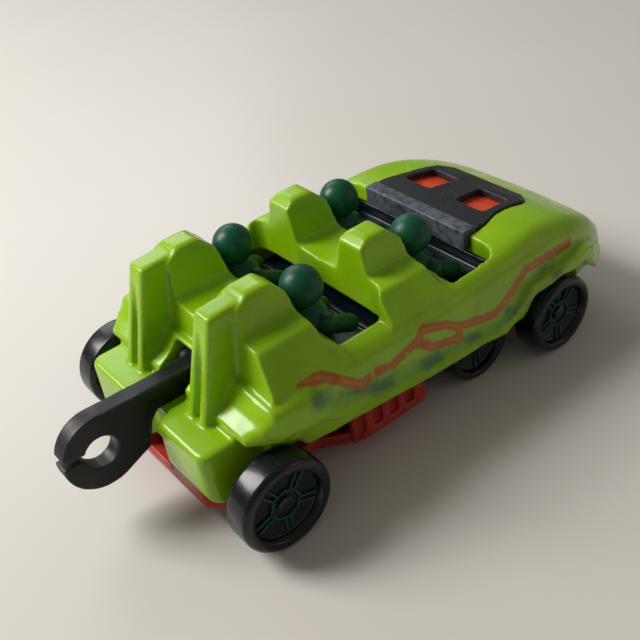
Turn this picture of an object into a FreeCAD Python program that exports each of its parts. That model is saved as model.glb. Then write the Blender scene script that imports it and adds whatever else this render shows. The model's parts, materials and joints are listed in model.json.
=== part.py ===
import FreeCAD, Part
import math
import os

# A small pull back car with four riders, made in real size.
# X points to the nose, Y to the car's left, Z up. Units are millimetres.
# The origin is on the ground under the middle of the car.

# ---------------------------------------------------------------- driving sizes
overall_length = 78.0
hull_half_width = 17.0
hull_bottom = 7.6
rim_height = 17.4
deck_height = 12.7
deck_bottom = 5.4
deck_half_width = 13.0
deck_rear = -6.0
nose_tip = 61.0
row_pitch = 17.0
seat_spacing = 7.0
headrest_height = 26.4
rider_side = seat_spacing - 0.1
rider_rows = (14.0, 14.0 + row_pitch)
fin_groove_width = 1.1
well_corner = 2.4
frame_thickness = 0.75

rear_wheel_radius = 6.0
rear_wheel_outer = 19.4
front_wheel_radius = 5.5
front_wheel_outer = 18.3
drive_wheel_radius = 5.2
drive_wheel_outer = 14.5
rolling_wheel_width = 4.0
drive_wheel_width = 3.0
front_axle_ahead = 46.6
drive_axle_ahead = 35.0
axle_radius = 0.9
running_gap = 0.05

hook_thickness = 2.4
hook_ring_ahead = -12.0
hook_ring_height = 10.6
hook_ring_radius = 5.0
slot_half_width = 2.8
slot_web_rear = -4.0
slot_web_top = 11.95
hook_pivot_ahead = 2.6
hook_pivot_height = 13.7

base_bottom = 2.4
base_floor = 1.6
wheel_boss_radius = 1.8
wheel_boss_clearance = 0.3
screw_places = (11.4, 51.6)
screw_post_tops = (16.0, 14.6)
coupling_pin_ahead = 57.6
coupling_pin_height = 5.2
motor_half_width = 8.2
motor_wall = 0.8
gear_module = 0.4
pinion_teeth = 10
idler_large_teeth = 18
idler_small_teeth = 9
drum_teeth = 20

# The rear axle sits behind the origin, so that half the overall length lies on each side.
rear_axle_x = overall_length / 2 - nose_tip


def ahead(distance):
    """X of a place a given distance in front of the rear axle."""
    return rear_axle_x + distance


# ---------------------------------------------------------------- shape helpers
def box(x0, x1, y0, y1, z0, z1):
    """Box between two X places (ahead of the rear axle), two Y and two Z."""
    corner = FreeCAD.Vector(ahead(x0), y0, z0)
    return Part.makeBox(x1 - x0, y1 - y0, z1 - z0, corner)


def side_prism(points, y0, y1):
    """Side view outline of (ahead, height) points, carried from y0 to y1."""
    outline = [FreeCAD.Vector(ahead(x), y0, z) for x, z in points]
    face = Part.Face(Part.makePolygon(outline + outline[:1]))
    return face.extrude(FreeCAD.Vector(0, y1 - y0, 0))


def front_prism(points, x0, x1):
    """Front view outline of (side, height) points, carried from x0 to x1."""
    outline = [FreeCAD.Vector(ahead(x0), y, z) for y, z in points]
    face = Part.Face(Part.makePolygon(outline + outline[:1]))
    return face.extrude(FreeCAD.Vector(x1 - x0, 0, 0))


def plan_prism(points, z0, z1):
    """Plan outline of (ahead, side) points, carried from z0 to z1."""
    outline = [FreeCAD.Vector(ahead(x), y, z0) for x, y in points]
    face = Part.Face(Part.makePolygon(outline + outline[:1]))
    return face.extrude(FreeCAD.Vector(0, 0, z1 - z0))


def cross_rod(radius, x, z, y0, y1):
    """Cylinder along Y between y0 and y1."""
    start = FreeCAD.Vector(ahead(x), y0, z)
    return Part.makeCylinder(radius, y1 - y0, start, FreeCAD.Vector(0, 1, 0))


def upright(radius, x, y, z0, z1):
    """Cylinder along Z between z0 and z1."""
    return Part.makeCylinder(radius, z1 - z0, FreeCAD.Vector(ahead(x), y, z0))


def ball(radius, x, y, z):
    """Sphere about a point."""
    return Part.makeSphere(radius, FreeCAD.Vector(ahead(x), y, z))


def mirrored(shape):
    """The same shape on the other side of the car."""
    return shape.mirror(FreeCAD.Vector(0, 0, 0), FreeCAD.Vector(0, 1, 0))


def joined(shapes):
    """One solid from several that touch or overlap."""
    first = shapes[0]
    return first.multiFuse(shapes[1:]).removeSplitter()


def without(shape, cutters):
    """The shape with every cutter taken away."""
    return shape.cut(joined_cutters(cutters))


def joined_cutters(cutters):
    """Cutters as one compound."""
    if len(cutters) == 1:
        return cutters[0]
    return cutters[0].multiFuse(cutters[1:])


def both_sides(shape):
    """A shape and its mirror image, as a list."""
    return [shape, mirrored(shape)]


def rounded(shape, radius, wanted):
    """Fillet the edges whose middle point passes the wanted test."""
    edges = []
    for edge in shape.Edges:
        middle = edge.valueAt((edge.FirstParameter + edge.LastParameter) / 2)
        if wanted(middle, edge):
            edges.append(edge)
    return shape.makeFillet(radius, edges)


def turned(points, x, y0, z):
    """Ring or wheel turned about a cross axis from (radius, depth) points."""
    outline = [FreeCAD.Vector(ahead(x) + r, y0 + d, z) for r, d in points]
    face = Part.Face(Part.makePolygon(outline + outline[:1]))
    centre = FreeCAD.Vector(ahead(x), 0, z)
    return face.revolve(centre, FreeCAD.Vector(0, 1, 0), 360)


# ---------------------------------------------------------------- body shell
def hull_section(x, half_width, top, bottom, corner):
    """Section with leaning sides, rounded top corners and a slightly crowned top."""
    lean = 0.05 * (top - bottom)
    half = [(half_width - 0.4, bottom), (half_width, bottom + 0.35 * (top - corner - bottom))]
    half.append((half_width - lean / 2, bottom + 0.75 * (top - corner - bottom)))
    centre_y = half_width - lean - corner
    centre_z = top - corner
    for step in range(5):
        angle = math.radians(90) * step / 4
        half.append((centre_y + corner * math.cos(angle), centre_z + corner * math.sin(angle)))
    half.append((centre_y * 0.5, top + 0.25))
    points = [FreeCAD.Vector(ahead(x), y, z) for y, z in half]
    points.append(FreeCAD.Vector(ahead(x), 0, top + 0.35))
    points += [FreeCAD.Vector(ahead(x), -y, z) for y, z in reversed(half)]
    arch = Part.BSplineCurve()
    arch.interpolate(points)
    floor_line = Part.makeLine(points[-1], points[0])
    return Part.Wire([arch.toShape(), floor_line])


def swept_hull(stations, straight=False):
    """Solid through sections given as (ahead, half width, top, bottom, corner radius)."""
    wires = [hull_section(*station) for station in stations]
    return Part.makeLoft(wires, True, straight)


def seat_row(rear_x, top, rim):
    """Two seat backs side by side: shoulders, a dip in the middle and a headrest each."""
    shoulder = top - 4.4
    dip = top - 5.8
    half_view = [
        (0.0, dip),
        (seat_spacing - 3.2, dip + 0.3),
        (seat_spacing - 1.8, top),
        (seat_spacing + 1.8, top),
        (seat_spacing + 2.8, shoulder),
        (seat_spacing + 5.6, shoulder - 0.4),
        (hull_half_width - 1.6, rim),
        (hull_half_width - 0.5, rim - 3.2),
        (hull_half_width - 0.5, rim - 6.0),
    ]
    view = half_view + [(-y, z) for y, z in reversed(half_view[1:])]
    across = front_prism(view, rear_x - 4, rear_x + 16)
    across = rounded(across, 0.9, lambda m, e: m.z > rim + 2 and e.Length > 15 and abs(m.y) > 1)
    side_view = [
        (rear_x - 2.4, rim - 6.0),
        (rear_x - 2.2, deck_height),
        (rear_x - 0.2, top - 1.2),
        (rear_x + 1.6, top),
        (rear_x + 4.4, top),
        (rear_x + 6.4, top - 2.0),
        (rear_x + 7.2, top - 6.6),
        (rear_x + 8.6, top - 7.8),
        (rear_x + 9.2, rim - 0.4),
        (rear_x + 9.2, rim - 6.0),
    ]
    along = side_prism(side_view, -30, 30)
    along = rounded(along, 0.9, lambda m, e: m.z > rim + 1 and e.Length > 50)
    return across.common(along)


def seat_fins(rear_x, foot, top):
    """Drafted fin behind each rear headrest, standing on the deck."""
    slope = side_prism(
        [
            (rear_x - 7.4, foot),
            (rear_x - 3.4, top - 0.8),
            (rear_x + 3.0, top - 0.4),
            (rear_x + 3.0, foot),
        ],
        0,
        20,
    )
    width = front_prism(
        [
            (seat_spacing - 2.1, foot),
            (seat_spacing - 1.6, top),
            (seat_spacing + 1.6, top),
            (seat_spacing + 2.1, foot),
        ],
        rear_x - 10,
        rear_x + 5,
    )
    fin = slope.common(width)
    fin = rounded(fin, 0.6, lambda m, e: m.x < ahead(rear_x) and m.z > foot + 1)
    groove = side_prism(
        [
            (rear_x - 9.0, foot - 1.0),
            (rear_x - 5.9, foot - 1.0),
            (rear_x - 3.9, top - 3.0),
            (rear_x - 9.0, top - 3.0),
        ],
        seat_spacing - fin_groove_width / 2,
        seat_spacing + fin_groove_width / 2,
    )
    return both_sides(fin.cut(groove))


def deck_block():
    """Left half of the split rear deck, with rounded corners."""
    outline = [
        (deck_rear, slot_half_width),
        (3.0, slot_half_width),
        (3.0, deck_half_width),
        (deck_rear, deck_half_width),
    ]
    block = plan_prism(outline, deck_bottom, deck_height)

    def is_rear_upright(middle, edge):
        return middle.x < ahead(deck_rear) + 0.1 and abs(middle.z - deck_height) > 1

    block = rounded(block, 1.6, is_rear_upright)
    return rounded(block, 0.8, lambda m, e: abs(m.z - deck_height) < 0.01 and m.x < ahead(2.5))


def rear_fender():
    """Rounded flank lobes over the rear wheels."""
    lobe = swept_hull(
        [
            (-1.4, 14.8, 13.7, 12.9, 0.3),
            (0.4, 16.2, 14.9, 12.7, 0.7),
            (1.8, 17.0, 16.6, 12.6, 1.4),
            (5.0, 17.4, 17.0, 12.6, 2.0),
            (8.4, 17.3, 17.0, 11.8, 2.0),
            (11.4, 16.7, 17.0, 9.4, 2.0),
        ],
        straight=True,
    )
    return lobe


def front_fender():
    """Raised band that arches over the left front wheel and makes the ledge on the flank."""
    band = side_prism(
        [
            (34.0, 7.6),
            (37.4, 9.6),
            (41.2, 13.0),
            (52.6, 13.0),
            (56.6, 11.2),
            (58.6, 8.0),
            (55.4, 7.8),
            (51.6, 11.3),
            (41.6, 11.3),
            (38.6, 9.0),
            (37.0, 7.6),
        ],
        12.0,
        18.4,
    )
    trim = plan_prism(
        [
            (33.0, 16.8),
            (36.0, 17.2),
            (41.0, 18.0),
            (50.0, 17.9),
            (54.0, 17.0),
            (57.5, 15.4),
            (60.5, 12.6),
            (60.5, 0.0),
            (33.0, 0.0),
        ],
        0,
        20,
    )
    band = band.common(trim)
    return band


def side_well(x0, x1, half_width, floor, draft):
    """Cockpit well with leaning walls and round front corners in plan."""
    well = front_prism(
        [
            (-half_width, rim_height + 12),
            (-half_width, rim_height),
            (-half_width + draft, floor),
            (half_width - draft, floor),
            (half_width, rim_height),
            (half_width, rim_height + 12),
        ],
        x0,
        x1,
    )
    plan = box(x0, x1, -half_width, half_width, floor - 1, rim_height + 13)

    def is_front_upright(middle, edge):
        return middle.x > ahead(x1) - 0.1 and abs(abs(middle.y) - half_width) < 0.1 and edge.Length > 5

    return well.common(rounded(plan, well_corner, is_front_upright))


def make_shell():
    """One casting: hull, deck, fenders and both seat rows, hollow underneath."""
    hull = swept_hull(
        [
            (1.7, 14.8, 16.9, 9.3, 2.6),
            (5.4, 16.1, 17.2, 9.0, 2.6),
            (10.0, 16.5, rim_height, 8.8, 2.6),
            (20.0, 16.9, rim_height, 8.2, 2.6),
            (30.0, 17.1, rim_height + 0.2, hull_bottom, 2.8),
            (38.0, 17.1, 18.1, hull_bottom, 3.2),
            (44.0, 16.9, 18.3, hull_bottom, 3.6),
            (50.0, 16.3, 17.1, hull_bottom, 3.8),
            (55.0, 15.3, 15.0, hull_bottom, 3.6),
            (59.0, 13.8, 12.6, hull_bottom, 3.0),
            (nose_tip, 12.4, 10.6, hull_bottom + 0.4, 1.6),
        ]
    )
    pieces = [hull, rear_fender()]
    pieces += both_sides(front_fender())
    pieces += both_sides(deck_block())
    pieces.append(box(slot_web_rear, 3.0, -slot_half_width - 1, slot_half_width + 1, deck_bottom, deck_height))
    pieces.append(seat_row(4.2, headrest_height, rim_height))
    pieces.append(seat_row(4.2 + row_pitch, headrest_height - 1.2, rim_height))
    pieces += seat_fins(4.2, deck_height - 1.5, headrest_height)

    cavity = swept_hull(
        [
            (6.4, 13.0, 15.4, 2.0, 1.0),
            (10.0, 14.4, 15.6, 2.0, 1.0),
            (20.0, 15.2, 15.6, 2.0, 1.0),
            (36.0, 15.4, 15.6, 2.0, 1.0),
            (44.0, 15.2, 15.4, 2.0, 1.0),
            (50.0, 14.6, 14.6, 2.0, 1.0),
            (54.0, 13.4, 12.8, 2.0, 1.0),
            (57.8, 11.6, 10.6, 2.0, 1.0),
        ]
    )
    cutters = [cavity]
    cutters.append(side_well(13.6, 21.4, 13.2, 12.0, 1.0))
    cutters.append(side_well(30.4, 38.4, 14.4, 12.0, 1.2))
    cutters.append(box(-9, slot_web_rear, -slot_half_width, slot_half_width, 2, 16.6))
    cutters.append(box(-9, 5.2, -slot_half_width, slot_half_width, slot_web_top, 16.6))
    for side in (1, -1):
        arch = cross_rod(front_wheel_radius + 0.6, front_axle_ahead, front_wheel_radius, 12.8, 19.5)
        cutters.append(arch if side > 0 else mirrored(arch))
        drive_arch = cross_rod(drive_wheel_radius + 0.6, drive_axle_ahead, drive_wheel_radius, 11.0, 15.6)
        cutters.append(drive_arch if side > 0 else mirrored(drive_arch))
        rear_arch = cross_rod(rear_wheel_radius + 0.5, 0, rear_wheel_radius, 14.6, 20.0)
        cutters.append(rear_arch if side > 0 else mirrored(rear_arch))
    cutters.append(cross_rod(axle_radius + 0.4, 0, rear_wheel_radius, -15, 15))
    cutters.append(box(-1.3, 1.3, -15, 15, 2, rear_wheel_radius))
    for side in (1, -1):
        ear = box(-2.6, 2.6, min(side * 7.6, side * 11.4), max(side * 7.6, side * 11.4), 2, 8.8)
        cutters.append(ear)
    cutters.append(cross_rod(0.8, hook_pivot_ahead, hook_pivot_height, -7.0, 7.0))
    cutters.append(insert_pocket())
    for x in rider_rows:
        cutters += both_sides(upright(3.2, x, rider_side, 11.0, 21.5))
    shell = joined(pieces)
    shell = shell.cut(joined_cutters(cutters))
    posts = []
    for x, post_top in zip(screw_places, screw_post_tops):
        post = upright(2.4, x, 0, base_bottom + base_floor, post_top)
        posts.append(post.cut(upright(0.8, x, 0, 2, 9.0)))
    return joined([shell] + posts)


# ---------------------------------------------------------------- hood insert and light panel
def hood_height(x):
    """Height of the hood's middle line, as used by the insert."""
    return 18.55 - 0.0190 * (max(x, 42.0) - 42.0) ** 2.0


def insert_outline(grow):
    """Plan view of the insert: wide rear lip, two window openings, front bar."""
    return [
        (37.6 - grow, 9.4 + grow),
        (41.2, 9.4 + grow),
        (44.6, 8.4 + grow),
        (50.2, 8.0 + grow),
        (52.0 + grow, 6.4 + grow),
        (52.0 + grow, -6.4 - grow),
        (50.2, -8.0 - grow),
        (44.6, -8.4 - grow),
        (41.2, -9.4 - grow),
        (37.6 - grow, -9.4 - grow),
    ]


def hood_slice(low, high):
    """Layer that follows the hood's fall between two offsets from its surface."""
    xs = [36.0, 38.0, 40.0, 42.0, 44.0, 46.0, 48.0, 50.0, 52.0, 54.0]
    upper = [(x, hood_height(x) + high) for x in xs]
    lower = [(x, hood_height(x) + low) for x in reversed(xs)]
    return side_prism(upper + lower, -14, 14)


def insert_pocket():
    """Recess in the hood that takes the insert and the panel under it."""
    return plan_prism(insert_outline(0.1), 8, 24).common(hood_slice(-2.2, 3.0))


def window_openings():
    """The two windows of the insert, wider toward the nose."""
    window = plan_prism([(43.2, 2.4), (48.4, 2.0), (48.4, 7.0), (43.2, 7.4)], 8, 24)
    window = rounded(window, 0.7, lambda m, e: abs(m.z - 16) < 1)
    return both_sides(window)


def make_hood_insert():
    """Dark frame sunk in the hood, with a raised lip at the rear."""
    frame = plan_prism(insert_outline(0.0), 8, 24).common(hood_slice(-frame_thickness, 0.35))
    lip = plan_prism([(37.6, 9.4), (39.6, 9.4), (39.6, -9.4), (37.6, -9.4)], 8, 24)
    lip = lip.common(hood_slice(-2.2, 0.55))
    frame = joined([frame, lip])
    return without(frame, window_openings())


def make_light_panel():
    """Panel under the insert that shows through the two windows."""
    outline = [(42.4, 7.9), (49.2, 7.6), (49.2, -7.6), (42.4, -7.9)]
    return plan_prism(outline, 8, 24).common(hood_slice(-2.2, -frame_thickness))


# ---------------------------------------------------------------- tub and riders
tub_floor = 12.6
bulkhead_top = 15.4
tub_thickness = 1.0
shoulder_forward = 0.95
arm_fall = 0.5
arm_length = 3.6


def make_tub():
    """Dark floor under both rows of seats, with low walls along the wells."""
    slab = box(10.6, 40.0, -13.0, 13.0, tub_floor, tub_floor + tub_thickness)
    walls = []
    rim_top = tub_floor + tub_thickness + 0.5
    for x0, x1, half_width in ((13.8, 21.2, 12.2), (30.6, 37.2, 13.2)):
        outer = box(x0, x1, -half_width, half_width, tub_floor, rim_top)
        inner = box(x0 + 0.8, x1 - 0.8, -half_width + 0.8, half_width - 0.8, tub_floor, 16)
        walls.append(outer.cut(inner))
    bulkhead = box(38.7, 39.8, -13.0, 13.0, tub_floor, bulkhead_top)
    tub = joined([slab, bulkhead] + walls)
    cutters = [upright(2.5, screw_places[0], 0, 10, 17)]
    for x in rider_rows:
        cutters += both_sides(upright(3.2, x, rider_side, tub_floor + tub_thickness, 17))
    return without(tub, cutters)


def make_rider(x, side, seat_height):
    """Bust of a rider: ball head, sloping shoulders and two arms to the front."""
    y = side * rider_side
    floor = tub_floor + tub_thickness
    trunk = Part.makeCone(2.5, 2.9, seat_height - 2.6 - floor, FreeCAD.Vector(ahead(x), y, floor))
    chest = ball(2.9, x, y, seat_height - 2.6)
    head = ball(2.6, x, y, seat_height + 2.3)
    pieces = [trunk, chest, head]
    for arm_side in (-1, 1):
        shoulder_y = y + arm_side * 2.7
        shoulder_x = x + shoulder_forward
        shoulder_z = seat_height - 2.3
        pieces.append(ball(1.35, shoulder_x, shoulder_y, shoulder_z + 0.1))
        reach = arm_length / math.hypot(1.0, arm_fall)
        start = FreeCAD.Vector(ahead(shoulder_x), shoulder_y, shoulder_z)
        direction = FreeCAD.Vector(1.0, 0, -arm_fall)
        pieces.append(Part.makeCylinder(1.15, arm_length, start, direction))
        pieces.append(ball(1.15, shoulder_x + reach, shoulder_y, shoulder_z - reach * arm_fall))
    under_floor = box(x - 6, x + 8, y - 6, y + 6, floor - 3, floor)
    return joined(pieces).cut(under_floor)


# ---------------------------------------------------------------- coupler hook
def make_hook():
    """Flat plate with a split ring behind and a pivot boss in front."""
    half = hook_thickness / 2
    ring = cross_rod(hook_ring_radius, hook_ring_ahead, hook_ring_height, -half, half)
    blade = side_prism(
        [
            (hook_ring_ahead + 1.0, hook_ring_height + hook_ring_radius - 0.1),
            (-5.0, 15.3),
            (hook_pivot_ahead, hook_pivot_height + 1.6),
            (hook_pivot_ahead, hook_pivot_height - 1.6),
            (-4.4, 12.0),
            (-5.4, 11.0),
            (-6.5, 7.6),
            (hook_ring_ahead + 2.6, hook_ring_height - hook_ring_radius + 0.7),
            (hook_ring_ahead, hook_ring_height),
        ],
        -half,
        half,
    )
    nose_boss = cross_rod(1.7, hook_pivot_ahead, hook_pivot_height, -slot_half_width + 0.2, slot_half_width - 0.2)
    hook = joined([ring, blade, nose_boss])
    eye = cross_rod(2.1, hook_ring_ahead - 0.2, hook_ring_height, -4, 4)
    slit = side_prism(
        [
            (hook_ring_ahead - 7, hook_ring_height + 1.6),
            (hook_ring_ahead - 1, hook_ring_height + 0.7),
            (hook_ring_ahead - 1, hook_ring_height + 0.1),
            (hook_ring_ahead - 7, hook_ring_height + 0.4),
        ],
        -4,
        4,
    )
    bore = cross_rod(0.8 + running_gap, hook_pivot_ahead, hook_pivot_height, -4, 4)
    return without(hook, [eye, slit, bore])


def make_hook_pin():
    """Steel pin pressed into the seat block on each side of the slot."""
    return cross_rod(0.8, hook_pivot_ahead, hook_pivot_height, -6.6, 6.6)


# ---------------------------------------------------------------- base plate
def make_base():
    """Red underside: floor pan, axle ears, relief panels on the flanks and nose bearing."""
    floor_top = base_bottom + base_floor
    pan = plan_prism(
        [
            (-5.4, 0.0),
            (-5.4, 9.6),
            (-3.6, 11.4),
            (10.0, 11.4),
            (13.0, 13.4),
            (26.0, 13.4),
            (28.0, 11.0),
            (41.0, 11.0),
            (52.6, 11.0),
            (56.4, 9.2),
            (58.6, 5.0),
            (58.6, 0.0),
        ],
        base_bottom,
        floor_top,
    )
    pan = joined(both_sides(pan))
    pieces = [pan]
    pieces.append(box(-5.4, -1.6, -9.6, -3.0, floor_top - 0.2, deck_bottom - 0.1))
    pieces.append(box(-5.4, -1.6, 3.0, 9.6, floor_top - 0.2, deck_bottom - 0.1))
    for side in (1, -1):
        low = min(side * 8.0, side * 11.0)
        pieces.append(box(-2.2, 2.2, low, low + 3.0, floor_top - 0.2, 8.2))
        front_low = min(side * 8.6, side * 11.0)
        pieces.append(box(front_axle_ahead - 2.2, front_axle_ahead + 2.2, front_low, front_low + 2.4,
                          floor_top - 0.2, 8.0))
        wall_low = min(side * 13.0, side * 14.2)
        pieces.append(box(13.4, 25.4, wall_low, wall_low + 1.2, base_bottom, 8.6))
        for step in range(4):
            rib_x = 15.0 + 2.6 * step
            rib_low = min(side * 13.6, side * 14.9)
            pieces.append(box(rib_x, rib_x + 1.2, rib_low, rib_low + 1.3, base_bottom + 0.8, 7.6))
        bar_low = min(side * 13.6, side * 14.9)
        pieces.append(box(14.4, 24.4, bar_low, bar_low + 1.3, base_bottom + 0.6, base_bottom + 1.8))
    for x in (53.6, 57.2):
        for side in (1, -1):
            low = min(side * 3.2, side * 5.0)
            if x > 54:
                pieces.append(box(x - 0.6, x + 1.4, low, low + 1.8, floor_top - 0.2, 6.6))
    base = joined(pieces)
    cutters = [box(18.0, 39.8, -motor_half_width - 0.15, motor_half_width + 0.15, 0, 8)]
    for side in (1, -1):
        low = min(side * 10.9, side * 15.5)
        cutters.append(box(drive_axle_ahead - 6.0, drive_axle_ahead + 6.0, low, low + 4.6, 0, 8))
    cutters.append(cross_rod(axle_radius + running_gap, 0, rear_wheel_radius, -15, 15))
    cutters.append(cross_rod(axle_radius + running_gap, front_axle_ahead, front_wheel_radius, -15, 15))
    boss_room = wheel_boss_radius + wheel_boss_clearance
    boss_under = drive_wheel_radius - boss_room
    cutters.append(box(drive_axle_ahead - boss_room, drive_axle_ahead + boss_room, -15, 15, boss_under, 8))
    cutters.append(cross_rod(0.8, coupling_pin_ahead, coupling_pin_height, -8, 8))
    cutters.append(box(56.0, 62.0, -3.0, 3.0, 0, 8))
    for x in screw_places:
        cutters.append(upright(0.95, x, 0, 0, 8))
        cutters.append(upright(1.9, x, 0, 0, base_bottom + 0.8))
    return without(base, cutters)


def make_coupling_pin():
    """Cross pin under the nose that takes the hook of another car."""
    return cross_rod(0.8, coupling_pin_ahead, coupling_pin_height, -4.8, 4.8)


# ---------------------------------------------------------------- wheels and axles
def wheel(radius, width, x, outer, spokes, boss_end):
    """Wheel with rounded tread, recessed face, hub and raised spokes, on the left side."""
    edge = 0.7
    inner = outer - width
    tyre = turned(
        [
            (0.0, 0.0),
            (radius - edge, 0.0),
            (radius - 0.2, 0.2),
            (radius, edge),
            (radius, width - edge),
            (radius - 0.2, width - 0.2),
            (radius - edge, width),
            (0.0, width),
        ],
        x,
        inner,
        radius,
    )
    face_radius = radius * 0.70
    recess = cross_rod(face_radius, x, radius, outer - 0.9, outer + 1)
    wheel_body = tyre.cut(recess)
    hub = cross_rod(radius * 0.25, x, radius, outer - 1.2, outer - 0.15)
    boss = cross_rod(wheel_boss_radius, x, radius, boss_end, inner + 0.5)
    parts = [wheel_body, hub, boss]
    for number in range(spokes):
        spoke = box(x, x + face_radius + 0.3, outer - 1.2, outer - 0.4, radius - 0.5, radius + 0.5)
        spoke.rotate(
            FreeCAD.Vector(ahead(x), 0, radius), FreeCAD.Vector(0, 1, 0), 18 + number * 360 / spokes
        )
        parts.append(spoke)
    result = joined(parts)
    bore = cross_rod(axle_radius, x, radius, boss_end - 1, outer - 0.8)
    return result.cut(bore)


def axle(x, radius_height, outer):
    """Steel rod that ends inside the two hubs."""
    end = outer - 0.85
    return cross_rod(axle_radius, x, radius_height, -end, end)


# ---------------------------------------------------------------- motor
pinion_pitch = pinion_teeth * gear_module / 2
idler_large_pitch = idler_large_teeth * gear_module / 2
idler_small_pitch = idler_small_teeth * gear_module / 2
drum_pitch = drum_teeth * gear_module / 2
idler_height = 7.0
idler_rise = idler_height - drive_wheel_radius
idler_ahead = drive_axle_ahead - math.sqrt((pinion_pitch + idler_large_pitch) ** 2 - idler_rise ** 2)
drum_ahead = idler_ahead - (idler_small_pitch + drum_pitch)
drum_height = idler_height
drum_rim_side = 3.2
drum_cup_side = motor_half_width - motor_wall - 0.3
motor_bottom = 1.6
motor_top = 12.4
shaft_radius = 0.6


def gear(x, z, y0, y1, teeth, tooth_direction):
    """Spur gear about a cross axis, with one tooth pointing along tooth_direction (radians)."""
    pitch = teeth * gear_module / 2
    root = pitch - 1.15 * gear_module
    tip = pitch + 0.80 * gear_module
    outline = []
    for tooth in range(teeth):
        middle = tooth_direction + 2 * math.pi * tooth / teeth
        step = 2 * math.pi / teeth
        for radius, share in ((root, -0.34), (pitch, -0.20), (tip, -0.09), (tip, 0.09), (pitch, 0.20), (root, 0.34)):
            angle = middle + share * step
            outline.append(
                FreeCAD.Vector(ahead(x) + radius * math.cos(angle), y0, z + radius * math.sin(angle))
            )
    face = Part.Face(Part.makePolygon(outline + outline[:1]))
    return face.extrude(FreeCAD.Vector(0, y1 - y0, 0))


def make_pinion():
    """Drive pinion pressed on the drive axle."""
    toward_idler = math.atan2(idler_rise, idler_ahead - drive_axle_ahead)
    body = gear(drive_axle_ahead, drive_wheel_radius, -2.0, 1.0, pinion_teeth, toward_idler)
    return body.cut(cross_rod(axle_radius, drive_axle_ahead, drive_wheel_radius, -5, 5))


def make_idler():
    """Compound idler: large wheel to the pinion, small wheel to the drum."""
    half_step = math.pi / idler_large_teeth
    toward_pinion = math.atan2(-idler_rise, drive_axle_ahead - idler_ahead)
    large = gear(idler_ahead, idler_height, -1.6, 0.4, idler_large_teeth, toward_pinion + half_step)
    small = gear(idler_ahead, idler_height, 0.3, 3.6, idler_small_teeth, math.pi)
    idler = joined([large, small])
    return idler.cut(cross_rod(shaft_radius + running_gap, idler_ahead, idler_height, -5, 5))


def make_drum():
    """Spring drum: toothed rim with a cup for the mainspring, clear of the large idler wheel."""
    half_step = math.pi / drum_teeth
    toothed = gear(drum_ahead, drum_height, 1.2, drum_rim_side, drum_teeth, half_step)
    cup = cross_rod(3.5, drum_ahead, drum_height, drum_rim_side - 0.1, drum_cup_side)
    hollow = cross_rod(3.0, drum_ahead, drum_height, drum_rim_side + 0.6, drum_cup_side + 1)
    drum = joined([toothed, cup]).cut(hollow)
    return drum.cut(cross_rod(shaft_radius + running_gap, drum_ahead, drum_height, -7, 7))


def make_mainspring():
    """Flat spiral strip between the drum's arbor and its wall."""
    turns = 4.0
    inner = 0.9
    outer = 2.93
    strip = 0.14
    steps = int(turns * 24)
    spring_start = drum_rim_side + 0.8
    spring_end = drum_cup_side - 0.2
    first = []
    second = []
    for step in range(steps + 1):
        angle = 2 * math.pi * turns * step / steps
        radius = inner + (outer - inner) * step / steps
        for edge, offset in ((first, -strip / 2), (second, strip / 2)):
            edge.append(
                FreeCAD.Vector(
                    ahead(drum_ahead) + (radius + offset) * math.cos(angle),
                    spring_start,
                    drum_height + (radius + offset) * math.sin(angle),
                )
            )
    outline = first + list(reversed(second))
    face = Part.Face(Part.makePolygon(outline + outline[:1]))
    return face.extrude(FreeCAD.Vector(0, spring_end - spring_start, 0))


def motor_side_view(grow):
    """Side outline of the motor module, full height at the drum and lower over the axle."""
    low = motor_bottom - grow
    high = motor_top + grow
    return [
        (18.2 - grow, 4.6),
        (20.4 - grow, low),
        (37.2 + grow, low),
        (39.6 + grow, 4.0),
        (39.6 + grow, 7.4),
        (36.4 + grow, 10.4),
        (33.0 + grow, high),
        (20.4 - grow, high),
        (18.2 - grow, 9.8),
    ]


def make_motor_half(side):
    """One half of the motor casing, open on the middle plane."""
    outer = side_prism(motor_side_view(0.0), 0.0, side * motor_half_width)
    inner = side_prism(motor_side_view(-motor_wall), 0.0, side * (motor_half_width - motor_wall))
    tab_bottom = base_bottom + base_floor
    tab_low = min(side * 1.0, side * 6.0)
    tabs = [
        box(16.4, 18.8, tab_low, tab_low + 5.0, tab_bottom, tab_bottom + 1.2),
        box(39.0, 41.4, tab_low, tab_low + 5.0, tab_bottom, tab_bottom + 1.2),
    ]
    half = joined([outer] + tabs).cut(inner)
    bores = [
        cross_rod(axle_radius + running_gap, drive_axle_ahead, drive_wheel_radius, -12, 12),
        cross_rod(shaft_radius, idler_ahead, idler_height, -7.8, 7.8),
        cross_rod(shaft_radius, drum_ahead, drum_height, -7.8, 7.8),
    ]
    return half.cut(joined_cutters(bores))


# ---------------------------------------------------------------- fasteners
def make_base_screws():
    """Two pan head screws up through the base into the shell posts."""
    screws = []
    for x in screw_places:
        shank = upright(0.8, x, 0, base_bottom + 0.2, 8.6)
        head = upright(1.7, x, 0, base_bottom - 0.1, base_bottom + 0.75)
        slot = box(x - 1.4, x + 1.4, -0.2, 0.2, 0, base_bottom + 0.2)
        cross = box(x - 0.2, x + 0.2, -1.4, 1.4, 0, base_bottom + 0.2)
        screws.append(shank.fuse(head).cut(slot.fuse(cross)))
    return Part.makeCompound(screws)


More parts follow.
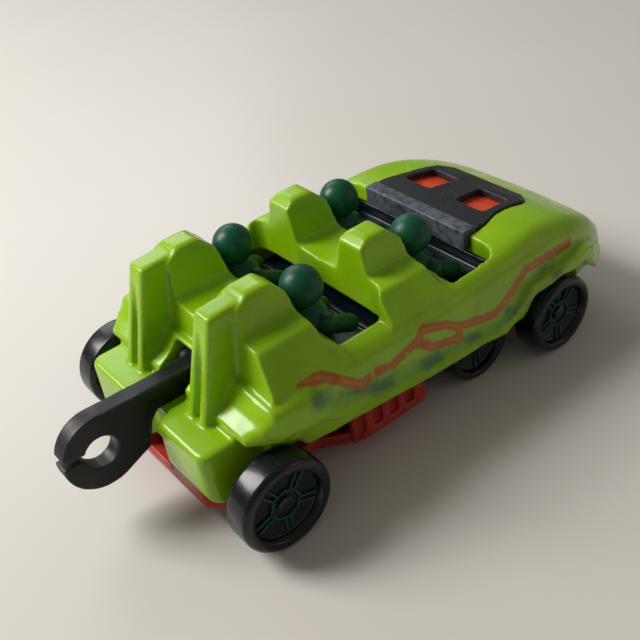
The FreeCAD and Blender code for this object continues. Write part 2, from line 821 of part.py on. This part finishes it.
# ---------------------------------------------------------------- write every piece
def all_nodes():
    """Every node by name."""
    nodes = {}
    nodes["body_shell"] = make_shell()
    nodes["base_plate"] = make_base()
    nodes["interior_tub"] = make_tub()
    nodes["hood_insert"] = make_hood_insert()
    nodes["hood_light_panel"] = make_light_panel()
    for row, x, seat in (("rear", rider_rows[0], headrest_height - 6.4), ("front", rider_rows[1], headrest_height - 7.6)):
        nodes["rider_" + row + "_left"] = make_rider(x, 1, seat)
        nodes["rider_" + row + "_right"] = make_rider(x, -1, seat)
    nodes["coupler_hook"] = make_hook()
    nodes["hook_pivot_pin"] = make_hook_pin()
    nodes["front_coupling_pin"] = make_coupling_pin()
    nodes["base_screws"] = make_base_screws()
    wheels = (
        ("rear", 0.0, rear_wheel_radius, rolling_wheel_width, rear_wheel_outer, deck_half_width + 0.2),
        ("front", front_axle_ahead, front_wheel_radius, rolling_wheel_width, front_wheel_outer, 11.2),
        ("drive", drive_axle_ahead, drive_wheel_radius, drive_wheel_width, drive_wheel_outer,
         motor_half_width + 0.2),
    )
    for name, x, radius, width, outer, boss_end in wheels:
        left = wheel(radius, width, x, outer, 5, boss_end)
        nodes[name + "_wheel_left"] = left
        nodes[name + "_wheel_right"] = mirrored(left)
        nodes[name + "_axle"] = axle(x, radius, outer)
    nodes["axle_pinion"] = make_pinion()
    nodes["idler_gear"] = make_idler()
    nodes["idler_shaft"] = cross_rod(shaft_radius, idler_ahead, idler_height, -7.8, 7.8)
    nodes["spring_drum"] = make_drum()
    nodes["drum_shaft"] = cross_rod(shaft_radius, drum_ahead, drum_height, -7.8, 7.8)
    nodes["mainspring"] = make_mainspring()
    nodes["motor_case_left"] = make_motor_half(1)
    nodes["motor_case_right"] = make_motor_half(-1)
    return nodes


if __name__ == "__main__":
    os.makedirs("parts", exist_ok=True)
    for name, shape in all_nodes().items():
        shape.exportStep("parts/" + name + ".step")
        print(name, len(shape.Solids), round(shape.Volume, 1), shape.isValid())
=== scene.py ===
# %% [markdown]
# A small pull back car carries four riders on two rows of moulded seats. The imported model holds
# every piece at its real size. This script gives each piece the soft edges, gloss and wear that a
# moulded toy has. It starts by loading that model and keeping its overall box, round which the
# lights are placed.

import json
import math

import bmesh
import bpy
from mathutils import Matrix, Quaternion, Vector


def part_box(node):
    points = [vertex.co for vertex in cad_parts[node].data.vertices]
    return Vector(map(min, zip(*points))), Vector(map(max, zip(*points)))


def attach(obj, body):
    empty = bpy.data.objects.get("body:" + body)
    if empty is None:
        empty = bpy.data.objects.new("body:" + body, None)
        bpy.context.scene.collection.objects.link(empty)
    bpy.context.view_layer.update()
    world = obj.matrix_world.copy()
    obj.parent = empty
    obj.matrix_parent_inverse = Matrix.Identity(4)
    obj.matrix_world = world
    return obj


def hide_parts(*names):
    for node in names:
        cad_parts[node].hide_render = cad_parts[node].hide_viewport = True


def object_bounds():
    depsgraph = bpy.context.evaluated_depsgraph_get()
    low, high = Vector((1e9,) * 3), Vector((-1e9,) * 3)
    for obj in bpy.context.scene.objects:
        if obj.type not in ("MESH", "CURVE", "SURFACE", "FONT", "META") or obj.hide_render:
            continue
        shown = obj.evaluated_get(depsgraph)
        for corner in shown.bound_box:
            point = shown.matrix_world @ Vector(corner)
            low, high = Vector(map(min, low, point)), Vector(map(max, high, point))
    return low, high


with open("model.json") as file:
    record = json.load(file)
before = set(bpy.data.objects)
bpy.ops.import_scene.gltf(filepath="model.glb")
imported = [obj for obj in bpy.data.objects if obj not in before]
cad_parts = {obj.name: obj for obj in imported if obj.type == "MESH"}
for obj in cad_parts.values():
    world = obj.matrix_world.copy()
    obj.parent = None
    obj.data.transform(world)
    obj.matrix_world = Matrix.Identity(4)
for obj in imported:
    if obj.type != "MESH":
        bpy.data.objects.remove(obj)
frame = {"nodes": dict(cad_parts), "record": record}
cad_low, cad_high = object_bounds()
mm = 0.001
body_of_node = {
    node: body for body, nodes in frame["record"]["behaviour"]["bodies"].items() for node in nodes
}
rear_axle_low, rear_axle_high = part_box("rear_axle")
rear_axle_x = (rear_axle_low.x + rear_axle_high.x) / 2
print("pieces in the packed model:", len(frame["nodes"]))


def ahead(distance):
    """X in metres of a place given in millimetres ahead of the rear axle."""
    return rear_axle_x + distance * mm


# %% [markdown]
# Moulded pieces have no knife edges: the steel mould itself is rounded, and the plastic or the
# paint rounds it further. Bevelling every edge of a complex solid by hand is slow and fragile. A
# voxel skin that is then relaxed rounds every edge by the same small amount, inside corners too,
# just as a mould and a coat of paint do. The skin is worked in millimetres and brought back.

# %% Even skin for a moulded piece
def moulded_copy(node, name, voxel, relaxing, most_triangles=0):
    """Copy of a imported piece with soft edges. Voxel is in millimetres."""
    mesh = frame["nodes"][node].data.copy()
    shape = bmesh.new()
    shape.from_mesh(mesh)
    bmesh.ops.remove_doubles(shape, verts=shape.verts, dist=1e-7)
    bmesh.ops.recalc_face_normals(shape, faces=shape.faces)
    bmesh.ops.scale(shape, vec=Vector((1, 1, 1)) / mm, verts=shape.verts)
    shape.to_mesh(mesh)
    shape.free()
    piece = bpy.data.objects.new(name, mesh)
    bpy.context.scene.collection.objects.link(piece)
    skin = piece.modifiers.new("Even skin", "REMESH")
    skin.mode = "VOXEL"
    skin.voxel_size = voxel
    relax = piece.modifiers.new("Soft edges", "SMOOTH")
    relax.factor = 0.5
    relax.iterations = relaxing
    bake_modifiers(piece)
    if most_triangles:
        triangles = sum(len(face.vertices) - 2 for face in piece.data.polygons)
        thin = piece.modifiers.new("Fewer faces", "DECIMATE")
        thin.ratio = min(1.0, most_triangles / triangles)
        bake_modifiers(piece)
    piece.data.transform(Matrix.Scale(mm, 4))
    piece.data.shade_smooth()
    stands_for(piece, node)
    print(name, "has", len(piece.data.polygons), "faces")
    return piece


def bake_modifiers(piece):
    """Make the modified shape the piece's own mesh."""
    bpy.context.view_layer.update()
    shown = piece.evaluated_get(bpy.context.evaluated_depsgraph_get())
    finished = bpy.data.meshes.new_from_object(shown)
    piece.modifiers.clear()
    piece.data = finished


def stands_for(piece, node):
    """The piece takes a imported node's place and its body."""
    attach(piece, body_of_node[node])
    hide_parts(node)


# %% [markdown]
# Handled toys go dull and pale where an edge sticks out, and the lime body's edges carry a painted
# highlight, so these finishes need to know where the edges are. Each point of the soft skin is
# compared with the middle of its neighbours: on a crest it stands proud. That number is kept as an
# attribute, which every finish below can read.

# %% Mark the crests of a piece
def mark_crests(piece, sharpness):
    """Store 0 on flat and hollow places, and up to 1 along outer edges."""
    shape = bmesh.new()
    shape.from_mesh(piece.data)
    shape.normal_update()
    crest = shape.verts.layers.float.new("crest")
    shape.verts.ensure_lookup_table()
    proud = []
    for point in shape.verts:
        around = [edge.other_vert(point).co for edge in point.link_edges]
        middle = sum(around, Vector()) / max(len(around), 1)
        proud.append(max(0.0, (point.co - middle).dot(point.normal)) * sharpness / mm)
    for point in shape.verts:
        around = [proud[edge.other_vert(point).index] for edge in point.link_edges]
        mean = (proud[point.index] + sum(around)) / (len(around) + 1)
        point[crest] = min(1.0, mean)
    shape.to_mesh(piece.data)
    shape.free()


# %% [markdown]
# Every finish is a small graph of shader nodes. One helper makes a node, sets its values and
# links, so that each finish below reads as a short recipe.

# %% Shader helpers
bump_strength = 0.5


def node(tree, kind, inputs, **settings):
    """New shader node with its settings, values and links."""
    made = tree.nodes.new(kind)
    for name, value in settings.items():
        setattr(made, name, value)
    for name, value in inputs.items():
        if isinstance(value, bpy.types.NodeSocket):
            tree.links.new(value, made.inputs[name])
        else:
            made.inputs[name].default_value = value
    return made


def new_finish(name):
    """Empty material, its node tree and its shader."""
    finish = bpy.data.materials.new(name)
    finish.use_nodes = True
    return finish, finish.node_tree, finish.node_tree.nodes["Principled BSDF"]


def place_in_object(tree):
    """Coordinates fixed to the piece, in metres."""
    return tree.nodes.new("ShaderNodeTexCoord").outputs["Object"]


def noise(tree, grain_mm, detail=2.0):
    """Cloudy pattern whose lumps are about grain_mm across."""
    inputs = {"Vector": place_in_object(tree), "Scale": 1 / (grain_mm * mm), "Detail": detail}
    return node(tree, "ShaderNodeTexNoise", inputs).outputs["Fac"]


def ramp(tree, value, low, high, out_low=0.0, out_high=1.0):
    """Value stretched from one range to another, and held at its ends."""
    inputs = {"Value": value, "From Min": low, "From Max": high, "To Min": out_low, "To Max": out_high}
    made = node(tree, "ShaderNodeMapRange", inputs, interpolation_type="SMOOTHSTEP")
    return made.outputs["Result"]


def blend_colours(tree, amount, first, second):
    """Colour that goes from first to second."""
    inputs = {"Fac": amount, "Color1": first, "Color2": second}
    return node(tree, "ShaderNodeMixRGB", inputs).outputs["Color"]


def combine(tree, operation, first, second):
    """Sum, product or other arithmetic of two values."""
    made = tree.nodes.new("ShaderNodeMath")
    made.operation = operation
    for socket, value in zip(made.inputs, (first, second)):
        if isinstance(value, bpy.types.NodeSocket):
            tree.links.new(value, socket)
        else:
            socket.default_value = value
    return made.outputs["Value"]


def attribute(tree, name):
    """Number stored on the points of the mesh."""
    return node(tree, "ShaderNodeAttribute", {}, attribute_name=name).outputs["Fac"]


def bumps(tree, height, depth_mm):
    """Normal that follows a height pattern."""
    inputs = {"Height": height, "Distance": depth_mm * mm, "Strength": bump_strength}
    return node(tree, "ShaderNodeBump", inputs).outputs["Normal"]


# %% [markdown]
# Most of the car is moulded plastic: an even colour that clouds slightly from place to place, a
# gloss that varies with handling, a fine skin left by the mould, pale specks of dust and thin
# pale edges, which are rubbed wear on most pieces and a painted highlight on the lime body. One
# recipe takes the colour, gloss and amount of edge wear and highlight, so that all the plastic
# pieces belong together.

# %% Moulded plastic recipe
dust_colour = (0.75, 0.75, 0.72, 1.0)
bare_grey = (0.3, 0.32, 0.34, 1.0)
plastic_clouding = 0.12
plastic_specular = 0.32
plastic_coat_roughness = 0.12
skin_depth = 0.012
glow_reach = (0.8, 1.0, 0.15)
glow_depth = 1.2


def clouded(tree, colour, depth):
    """Colour that drifts a little darker in soft patches."""
    darker = tuple(channel * (1 - depth) for channel in colour[:3]) + (1.0,)
    return blend_colours(tree, ramp(tree, noise(tree, 6.0, 3.0), 0.35, 0.65), colour, darker)


def plastic(name, colour, gloss, coat=0.0, wear=0.0, edge_wear_and_highlight_colour=bare_grey, dust=0.15, glow=0.0,
            skin=1.0):
    """Moulded plastic. Gloss is the roughness of the clean surface."""
    finish, tree, shader = new_finish(name)
    base = clouded(tree, colour, plastic_clouding)
    specks = ramp(tree, noise(tree, 0.22, 1.0), 0.70, 0.78)
    scattered = combine(tree, "MULTIPLY", specks, ramp(tree, noise(tree, 5.0), 0.50, 0.70))
    base = blend_colours(tree, combine(tree, "MULTIPLY", scattered, dust), base, dust_colour)
    # Pale edge colour on the crests: rubbed wear on most pieces, a painted highlight on the lime body.
    if wear > 0:
        patches = ramp(tree, noise(tree, 1.1, 5.0), 0.2, 0.62)
        crest_patches = combine(tree, "MULTIPLY", attribute(tree, "crest"), patches)
        edge_wear_and_highlight_mask = combine(tree, "MULTIPLY", crest_patches, wear)
        base = blend_colours(tree, edge_wear_and_highlight_mask, base, edge_wear_and_highlight_colour)
    tree.links.new(base, shader.inputs["Base Color"])
    rough = ramp(tree, noise(tree, 3.0, 4.0), 0.3, 0.7, gloss * 0.85, gloss * 1.25)
    tree.links.new(rough, shader.inputs["Roughness"])
    skin_height = noise(tree, 0.35, 3.0)
    tree.links.new(bumps(tree, skin_height, skin_depth * skin), shader.inputs["Normal"])
    shader.inputs["Specular IOR Level"].default_value = plastic_specular
    shader.inputs["Coat Weight"].default_value = coat
    shader.inputs["Coat Roughness"].default_value = plastic_coat_roughness
    if glow > 0:
        shader.inputs["Subsurface Weight"].default_value = glow
        shader.inputs["Subsurface Radius"].default_value = glow_reach
        shader.inputs["Subsurface Scale"].default_value = glow_depth * mm
    return finish


def dress(piece, *finishes):
    """Give a piece its finishes."""
    if len(piece.data.materials) > 0:
        piece.data.materials.clear()
    for finish in finishes:
        piece.data.materials.append(finish)


# %% [markdown]
# The body is one glossy lime moulding. A sprayed zigzag bolt runs along each flank, with a smoky
# teal shade under it. It could be a decal sheet or an image, but a stored distance from the bolt's
# line works on the curved flank with no seam, and keeps the soft edge of a sprayed print.

# %% Body shell
body = moulded_copy("body_shell", "body_shell_moulding", voxel=0.24, relaxing=4, most_triangles=180000)
mark_crests(body, sharpness=14)

# The bolt follows the stripe printed on the real car. Its middle line is given as (ahead of the
# rear axle, height) in millimetres, from the nose to the rear seats.
bolt_line = [
    (50.6, 13.9), (46.5, 14.5), (41.0, 14.9), (38.9, 13.5), (36.5, 12.3), (34.7, 11.7), (32.4, 12.2),
    (28.9, 13.1), (28.7, 11.5), (24.4, 12.6), (22.2, 14.4), (18.3, 13.4), (15.7, 13.8), (13.9, 13.2),
    (11.4, 15.2), (9.3, 16.9), (6.4, 17.6),
]
bolt_loop = [(28.9, 13.1), (26.6, 14.5), (23.6, 15.5), (22.2, 14.4)]
shade_line = [
    (46.0, 13.0), (39.5, 11.4), (35.0, 9.9), (30.0, 10.2), (24.0, 10.8), (17.0, 11.5),
    (12.0, 12.6), (7.5, 15.2),
]
flank_starts = 11.5
facing_sideways = 0.25
far_off = 9.0


def distance_to_line(x, z, line):
    """Shortest way from a place on the flank to a run of straight lines."""
    nearest = far_off
    for (x0, z0), (x1, z1) in zip(line, line[1:]):
        run_x, run_z = x1 - x0, z1 - z0
        share = ((x - x0) * run_x + (z - z0) * run_z) / (run_x ** 2 + run_z ** 2)
        share = min(1.0, max(0.0, share))
        nearest = min(nearest, math.hypot(x - x0 - share * run_x, z - z0 - share * run_z))
    return nearest


def mark_flank(piece):
    """Store each flank point's distance from the bolt and from its shade, in millimetres."""
    shape = bmesh.new()
    shape.from_mesh(piece.data)
    shape.normal_update()
    bolt = shape.verts.layers.float.new("bolt")
    shade = shape.verts.layers.float.new("shade")
    for point in shape.verts:
        point[bolt] = far_off
        point[shade] = far_off
        outward = point.normal.y if point.co.y > 0 else -point.normal.y
        if abs(point.co.y) > flank_starts * mm and outward > facing_sideways:
            x = (point.co.x - rear_axle_x) / mm
            z = point.co.z / mm
            point[bolt] = min(distance_to_line(x, z, bolt_line), distance_to_line(x, z, bolt_loop))
            point[shade] = distance_to_line(x, z, shade_line)
    shape.to_mesh(piece.data)
    shape.free()


mark_flank(body)


# %% Lime finish with the sprayed bolt
lime = (0.300, 0.560, 0.003, 1.0)
# Lighter lime painted on the body's crests as an edge highlight.
lime_edge_highlight = (0.50, 0.72, 0.10, 1.0)
bolt_orange = (0.42, 0.095, 0.006, 1.0)
bolt_yellow = (0.58, 0.24, 0.012, 1.0)
smoky_teal = (0.028, 0.13, 0.065, 1.0)


def lime_finish():
    """Glossy lime plastic with a sprayed bolt on the flanks and a painted highlight along its edges."""
    # Here the pale edge colour is a painted highlight along the crests, not wear.
    finish = plastic("lime_gloss", lime, gloss=0.26, coat=0.22, wear=0.3, edge_wear_and_highlight_colour=lime_edge_highlight,
                     dust=0.35, glow=0.12)
    tree = finish.node_tree
    shader = tree.nodes["Principled BSDF"]
    plain = shader.inputs["Base Color"].links[0].from_socket
    ragged = combine(tree, "MULTIPLY", combine(tree, "SUBTRACT", noise(tree, 0.7, 4.0), 0.5), 1.3)
    from_shade = combine(tree, "ADD", attribute(tree, "shade"), ragged)
    patchy = ramp(tree, noise(tree, 3.5, 2.0), 0.34, 0.60)
    near_shade = ramp(tree, from_shade, 0.2, 1.9, 0.85, 0.0)
    shaded = combine(tree, "MULTIPLY", near_shade, combine(tree, "MAXIMUM", patchy, 0.4))
    base = blend_colours(tree, shaded, plain, smoky_teal)
    from_bolt = combine(tree, "ADD", attribute(tree, "bolt"), combine(tree, "MULTIPLY", ragged, 0.35))
    sprayed = ramp(tree, from_bolt, 0.40, 0.78, 0.95, 0.0)
    core = ramp(tree, from_bolt, 0.0, 0.34, 0.75, 0.0)
    bolt = blend_colours(tree, combine(tree, "MULTIPLY", core, patchy), bolt_orange, bolt_yellow)
    base = blend_colours(tree, sprayed, base, bolt)
    tree.links.new(base, shader.inputs["Base Color"])
    return finish


lime_gloss = lime_finish()
dress(body, lime_gloss)

# %% [markdown]
# The base is a red plate under the car, and the seats look into a dark navy tub. Both are thin
# mouldings with small ribs, so they take a finer skin than the body.

# %% Base plate and tub
base = moulded_copy("base_plate", "base_plate_moulding", voxel=0.2, relaxing=3, most_triangles=90000)
mark_crests(base, sharpness=14)
base_red = plastic("base_red", (0.42, 0.028, 0.016, 1.0), gloss=0.34, wear=0.35,
                   edge_wear_and_highlight_colour=(0.62, 0.16, 0.12, 1.0))
dress(base, base_red)

tub = moulded_copy("interior_tub", "interior_tub_moulding", voxel=0.2, relaxing=3, most_triangles=60000)
mark_crests(tub, sharpness=14)
tub_navy = plastic("tub_navy", (0.004, 0.010, 0.016, 1.0), gloss=0.28, wear=0.3,
                   edge_wear_and_highlight_colour=(0.10, 0.12, 0.14, 1.0), dust=0.5)
dress(tub, tub_navy)

# %% [markdown]
# The hood carries a dark grey frame with a lip that hands rub pale, and a glowing orange panel
# shows through its two windows.

# %% Hood insert and light panel
insert = moulded_copy("hood_insert", "hood_insert_moulding", voxel=0.14, relaxing=4, most_triangles=60000)
mark_crests(insert, sharpness=22)


lip_wear = 0.75


# The lip is the insert's rear end, where hands have rubbed it pale.
def mark_lip(piece, reach):
    """Raise the wear over the rear lip of the insert."""
    low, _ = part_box("hood_insert")
    wear = piece.data.attributes["crest"].data
    for point in piece.data.vertices:
        from_rear = (point.co.x - low.x) / mm
        if from_rear < reach:
            wear[point.index].value = max(wear[point.index].value, lip_wear)


mark_lip(insert, reach=2.2)
insert_grey = plastic("insert_grey", (0.018, 0.020, 0.021, 1.0), gloss=0.42, wear=0.9,
                      edge_wear_and_highlight_colour=(0.145, 0.175, 0.205, 1.0), dust=0.5, skin=2.0)
dress(insert, insert_grey)

panel = moulded_copy("hood_light_panel", "hood_light_panel_moulding", voxel=0.16, relaxing=2)
panel_orange = plastic("panel_orange", (0.78, 0.075, 0.026, 1.0), gloss=0.25, coat=0.4)
dress(panel, panel_orange)

# %% [markdown]
# Four faceless riders of dark green plastic sit with their arms held forward. A ball and tapered
# limbs that run into each other look moulded once their joints are filleted by the soft skin.

# %% Riders
rider_green = plastic("rider_green", (0.001, 0.085, 0.040, 1.0), gloss=0.38, coat=0.05, dust=0.3)
for row in ("rear", "front"):
    for side in ("left", "right"):
        rider_name = "rider_" + row + "_" + side
        rider = moulded_copy(rider_name, rider_name + "_moulding", voxel=0.17, relaxing=6)
        dress(rider, rider_green)

# %% [markdown]
# The coupler is a dark flat hook with a split ring. Other cars have rubbed its upper edge to a
# dull grey, so it has the strongest wear of all.

# %% Coupler hook
hook = moulded_copy("coupler_hook", "coupler_hook_moulding", voxel=0.13, relaxing=7, most_triangles=60000)
mark_crests(hook, sharpness=26)
hook_grey = plastic("hook_grey", (0.007, 0.010, 0.012, 1.0), gloss=0.38, wear=0.8,
                    edge_wear_and_highlight_colour=(0.115, 0.13, 0.14, 1.0), dust=0.4, skin=2.0)
dress(hook, hook_grey)

# %% [markdown]
# A toy wheel is one turned shape, so its half outline is spun round the axle: rounded tread, flat
# rim, sloping inner wall, sunk face and hub. The thin spokes come in pairs and run from an eight
# sided hub outline to the rim. They are small raised ribs with a green tint on the black wheel.

# %% Wheel
turning_steps = 96
shoulder = 0.7
face_depth = 1.0
rib_width = 0.20
rib_height = 0.26
spoke_pairs = 5
spoke_half_gap = 0.34
spoke_flare = 1.3
hub_sides = 8
hub_share = 0.33
spoke_reach_share = 0.72
hub_overlap = 0.92
sunk_rib_share = 0.35
sharp_edge_angle = 38


def arc_points(centre_r, centre_d, radius, start, end, steps):
    """Points of a circular arc in a wheel's (radius, depth) outline."""
    points = []
    for step in range(steps + 1):
        angle = math.radians(start + (end - start) * step / steps)
        points.append((centre_r + radius * math.cos(angle), centre_d - radius * math.sin(angle)))
    return points


def wheel_outline(radius, width, boss_length):
    """Half outline from the middle of the outer face round to the end of the inner boss."""
    outline = [(0.0, 0.62), (radius * 0.13, 0.62), (radius * 0.17, 0.72), (radius * 0.17, face_depth)]
    outline += [(radius * 0.70, face_depth), (radius * 0.73, face_depth - 0.12)]
    outline += [(radius * 0.765, 0.14), (radius * 0.79, 0.03), (radius * 0.81, 0.0)]
    outline += arc_points(radius - shoulder, shoulder, shoulder, 90, 0, 6)
    outline += arc_points(radius - shoulder, width - shoulder, shoulder, 0, -90, 6)
    outline += [(radius * 0.80, width), (radius * 0.78, width - 0.06), (radius * 0.75, width - 0.6)]
    outline += [(1.85, width - 0.6), (1.8, width - 0.5), (1.8, boss_length - 0.15), (1.65, boss_length)]
    outline.append((0.0, boss_length))
    return outline


def add_rib(shape, start, end, angle_turn, depth):
    """Thin raised bar on the wheel face between two places given as (across, up)."""
    run = Vector((end[0] - start[0], end[1] - start[1]))
    middle = Vector(((start[0] + end[0]) / 2, 0, (start[1] + end[1]) / 2))
    turn = Matrix.Rotation(-math.atan2(run.y, run.x), 4, "Y")
    size = Matrix.Diagonal((run.length, rib_height, rib_width, 1))
    spin_round = Matrix.Rotation(angle_turn, 4, "Y")
    place = Matrix.Translation(Vector((0, depth, 0)))
    where = place @ spin_round @ Matrix.Translation(middle) @ turn @ size
    bar = bmesh.ops.create_cube(shape, size=1, matrix=where)
    faces = {face for point in bar["verts"] for face in point.link_faces}
    for face in faces:
        face.material_index = 1


def make_wheel(wheel_node, width, finishes):
    """Turned wheel with ribs, in the place of a packed wheel."""
    low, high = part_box(wheel_node)
    side = 1 if low.y + high.y > 0 else -1
    radius = (high.z - low.z) / 2 / mm
    outer = max(abs(low.y), abs(high.y)) / mm
    boss_length = outer - min(abs(low.y), abs(high.y)) / mm
    shape = bmesh.new()
    previous = None
    for r, d in wheel_outline(radius, width, boss_length):
        point = shape.verts.new((r, d, 0))
        if previous:
            shape.edges.new((previous, point))
        previous = point
    bmesh.ops.spin(shape, geom=shape.verts[:] + shape.edges[:], cent=(0, 0, 0), axis=(0, 1, 0),
                   angle=math.radians(360), steps=turning_steps, use_merge=True, use_duplicate=False)
    bmesh.ops.remove_doubles(shape, verts=shape.verts, dist=0.001)
    face_radius = radius * spoke_reach_share
    hub_radius = radius * hub_share
    rib_depth = face_depth - rib_height * sunk_rib_share
    for number in range(hub_sides):
        corners = [math.radians(360 * (number + step) / hub_sides) for step in (0, 1)]
        start, end = [(hub_radius * math.cos(a), hub_radius * math.sin(a)) for a in corners]
        add_rib(shape, start, end, 0.0, rib_depth)
    for number in range(spoke_pairs):
        turn = math.radians(90 + 360 * number / spoke_pairs)
        for offset in (-spoke_half_gap, spoke_half_gap):
            start = (hub_radius * hub_overlap, offset)
            end = (face_radius, offset * spoke_flare)
            add_rib(shape, start, end, turn, rib_depth)
    bmesh.ops.recalc_face_normals(shape, faces=shape.faces)
    if side > 0:
        bmesh.ops.scale(shape, vec=(1, -1, 1), verts=shape.verts)
        bmesh.ops.reverse_faces(shape, faces=shape.faces)
    centre = Vector(((low.x + high.x) / 2, side * outer * mm, (low.z + high.z) / 2))
    bmesh.ops.scale(shape, vec=(mm, mm, mm), verts=shape.verts)
    bmesh.ops.translate(shape, vec=centre, verts=shape.verts)
    mesh = bpy.data.meshes.new(wheel_node + "_turned")
    shape.to_mesh(mesh)
    shape.free()
    wheel = bpy.data.objects.new(wheel_node + "_turned", mesh)
    bpy.context.scene.collection.objects.link(wheel)
    mesh.shade_smooth()
    mesh.set_sharp_from_angle(angle=math.radians(sharp_edge_angle))
    stands_for(wheel, wheel_node)
    dress(wheel, *finishes)
    print(wheel.name, "radius", round(radius, 2), "mm")


wheel_black = plastic("wheel_black", (0.004, 0.008, 0.010, 1.0), gloss=0.24, coat=0.15, dust=0.25)
spoke_green = plastic("spoke_green", (0.004, 0.085, 0.060, 1.0), gloss=0.35, dust=0.1)
for axle_name, tyre_width in (("rear", 4.0), ("front", 4.0), ("drive", 3.0)):
    for side_name in ("left", "right"):
        make_wheel(axle_name + "_wheel_" + side_name, tyre_width, (wheel_black, spoke_green))

# %% [markdown]
# Axles, pins and screws are drawn or turned steel, and the motor inside is grey and white plastic.
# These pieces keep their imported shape, which is already right, and only take a finish.

# %% Metal and motor finishes
drawn_marks_scale = 900.0
drawn_marks_depth = 0.01


def steel(name, colour, roughness, stretch):
    """Drawn steel with fine marks that run round the rod."""
    finish, tree, shader = new_finish(name)
    marks_place = node(tree, "ShaderNodeMapping", {"Vector": place_in_object(tree), "Scale": stretch})
    marks_inputs = {"Vector": marks_place.outputs["Vector"], "Scale": drawn_marks_scale, "Detail": 4.0}
    marks = node(tree, "ShaderNodeTexNoise", marks_inputs).outputs["Fac"]
    darker = tuple(channel * 0.7 for channel in colour[:3]) + (1.0,)
    marked = blend_colours(tree, ramp(tree, marks, 0.35, 0.65), colour, darker)
    tree.links.new(marked, shader.inputs["Base Color"])
    rough = ramp(tree, marks, 0.3, 0.7, roughness * 0.8, roughness * 1.3)
    tree.links.new(rough, shader.inputs["Roughness"])
    tree.links.new(bumps(tree, marks, drawn_marks_depth), shader.inputs["Normal"])
    shader.inputs["Metallic"].default_value = 1.0
    return finish


axle_steel = steel("axle_steel", (0.56, 0.57, 0.58, 1.0), 0.28, (1, 6, 1))
screw_steel = steel("screw_steel", (0.48, 0.47, 0.45, 1.0), 0.34, (4, 4, 1))
spring_steel = steel("spring_steel", (0.30, 0.33, 0.38, 1.0), 0.30, (1, 8, 1))
motor_grey = plastic("motor_grey", (0.045, 0.048, 0.052, 1.0), gloss=0.45, dust=0.2, skin=2.0)
gear_white = plastic("gear_white", (0.62, 0.60, 0.55, 1.0), gloss=0.38, dust=0.1)
kept_finishes = {
    axle_steel: ["rear_axle", "front_axle", "drive_axle", "hook_pivot_pin", "front_coupling_pin",
                 "idler_shaft", "drum_shaft"],
    screw_steel: ["base_screws"],
    spring_steel: ["mainspring"],
    motor_grey: ["motor_case_left", "motor_case_right"],
    gear_white: ["axle_pinion", "idler_gear", "spring_drum"],
}
for finish, names in kept_finishes.items():
    for name in names:
        for slot in frame["nodes"][name].material_slots:
            slot.material = finish
print("kept pieces:", sum(len(names) for names in kept_finishes.values()))

# %% [markdown]
# A plain pale table top with a soft polish carries the car's shadow and a faint reflection. A
# plane is enough, because only its top shows.

# %% Table top
table_size = 3.0
table_shape = bmesh.new()
bmesh.ops.create_grid(table_shape, x_segments=1, y_segments=1, size=table_size / 2)
table_mesh = bpy.data.meshes.new("table_top")
table_shape.to_mesh(table_mesh)
table_shape.free()
table = bpy.data.objects.new("table_top", table_mesh)
bpy.context.scene.collection.objects.link(table)
table_finish, table_tree, table_shader = new_finish("table_polish")
table_warm = (0.72, 0.685, 0.64, 1.0)
table_pale = (0.75, 0.72, 0.68, 1.0)
table_colour = blend_colours(table_tree, noise(table_tree, 40.0), table_warm, table_pale)
table_tree.links.new(table_colour, table_shader.inputs["Base Color"])
table_shader.inputs["Roughness"].default_value = 0.30
table_shader.inputs["Specular IOR Level"].default_value = 0.20
dress(table, table_finish)

# %% [markdown]
# A large soft window light stands beyond the car's left rear corner, so that edges facing it
# shine and the near flank falls into soft shade. A weak warm lamp on the near side and an even
# pale world keep that shade readable.

# %% Lights
car_middle = (cad_low + cad_high) / 2


def soft_lamp(name, offset, size, power, colour):
    """Rectangular lamp in watts, some metres from the car's middle and pointed at it."""
    place = car_middle + Vector(offset)
    lamp = bpy.data.lights.new(name, "AREA")
    lamp.shape = "RECTANGLE"
    lamp.size, lamp.size_y = size
    lamp.energy = power
    lamp.color = colour
    holder = bpy.data.objects.new(name, lamp)
    holder.location = place
    holder.rotation_mode = "QUATERNION"
    holder.rotation_quaternion = (car_middle - place).to_track_quat("-Z", "Y")
    bpy.context.scene.collection.objects.link(holder)


soft_lamp("window", (-0.20, 0.22, 0.26), (0.15, 0.22), 1.58, (1.0, 0.98, 0.95))
soft_lamp("far_window", (0.10, 0.42, 0.26), (0.30, 0.20), 0.50, (0.95, 0.98, 1.0))
soft_lamp("warm_fill", (0.26, -0.24, 0.12), (0.25, 0.15), 0.07, (1.0, 0.80, 0.58))
world = bpy.data.worlds.new("room")
world.use_nodes = True
world.node_tree.nodes["Background"].inputs["Color"].default_value = (1.0, 0.97, 0.91, 1.0)
world.node_tree.nodes["Background"].inputs["Strength"].default_value = 0.17
bpy.context.scene.world = world
bpy.context.scene.view_settings.view_transform = "Standard"

# %% [markdown]
# The camera looks down at the car from behind its right rear corner, held slightly tilted, as a
# person would hold it over a table.

# %% Camera
camera_data = bpy.data.cameras.new("camera")
camera_data.lens = 53.4
camera_data.sensor_width = 36.0
camera_data.clip_start = 0.005
camera = bpy.data.objects.new("camera", camera_data)
camera_place = Vector((-56.6, -82.2, 83.1)) * mm
camera_aim = Vector((6.3, 11.6, 0.0)) * mm
camera_tilt = math.radians(8.6)
camera.location = camera_place
camera.rotation_mode = "QUATERNION"
looking = (camera_aim - camera_place).to_track_quat("-Z", "Y")
camera.rotation_quaternion = looking @ Quaternion((0, 0, 1), -camera_tilt)
bpy.context.scene.collection.objects.link(camera)
bpy.context.scene.camera = camera
